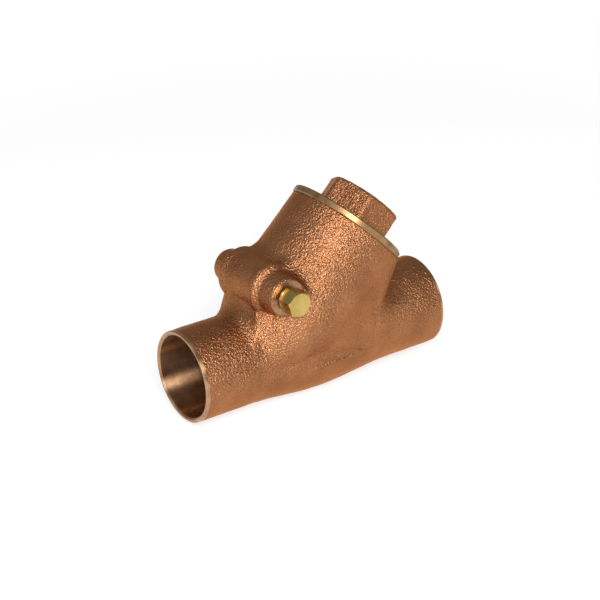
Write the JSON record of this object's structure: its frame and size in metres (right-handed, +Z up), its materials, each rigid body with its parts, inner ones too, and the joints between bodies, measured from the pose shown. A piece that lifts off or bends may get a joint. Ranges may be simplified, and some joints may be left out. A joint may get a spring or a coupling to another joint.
{
  "type": "swing check valve",
  "caption": "Y-pattern bronze swing check valve with solder-socket ends, screwed hexagon cap, side hinge-pin plug and a swinging soft-seated disc.",
  "frame": {"origin": "middle of the run, on the run's axis and halfway between the two socket ends", "axes": "+X along the run in the direction of flow, +Z up, neck leaning downstream in the XZ plane, hinge-pin plug towards -Y"},
  "size_m": [0.0986, 0.047, 0.0718],
  "materials": {
    "cast_bronze": "blasted sand casting, reddish brown, machined at the ends",
    "cap_bronze": "sand cast hexagon, turned golden flange edge",
    "fibre": "dull fibre gasket",
    "pin_bronze": "ground rod",
    "brass": "turned, bright",
    "hanger_bronze": "cast and turned",
    "soft_white": "moulded seat disc"
  },
  "bodies": {
    "valve_body": {"body": "cast_bronze", "cap": "cap_bronze", "cap_gasket": "fibre", "hinge_pin": "pin_bronze", "hinge_pin_plug": "brass", "plug_gasket": "fibre"},
    "hanger": {"hanger": "hanger_bronze"},
    "disc": {"disc_holder": "hanger_bronze", "seat_disc": "soft_white", "seat_disc_washer": "brass", "seat_disc_nut": "brass", "hanger_washer": "brass", "hanger_nut": "brass"}
  },
  "joints": [
    {"name": "disc_swing", "type": "hinge", "parent": "valve_body", "child": "hanger", "pos_m": [-0.01798, 0, 0.02602], "axis": [0, -1, 0], "range_deg": [0, 45]},
    {"name": "disc_spin", "type": "hinge", "parent": "hanger", "child": "disc", "pos_m": [-0.00214, 0, 0.01556], "axis": [0.7071, 0, 0.7071], "continuous": true}
  ]
}
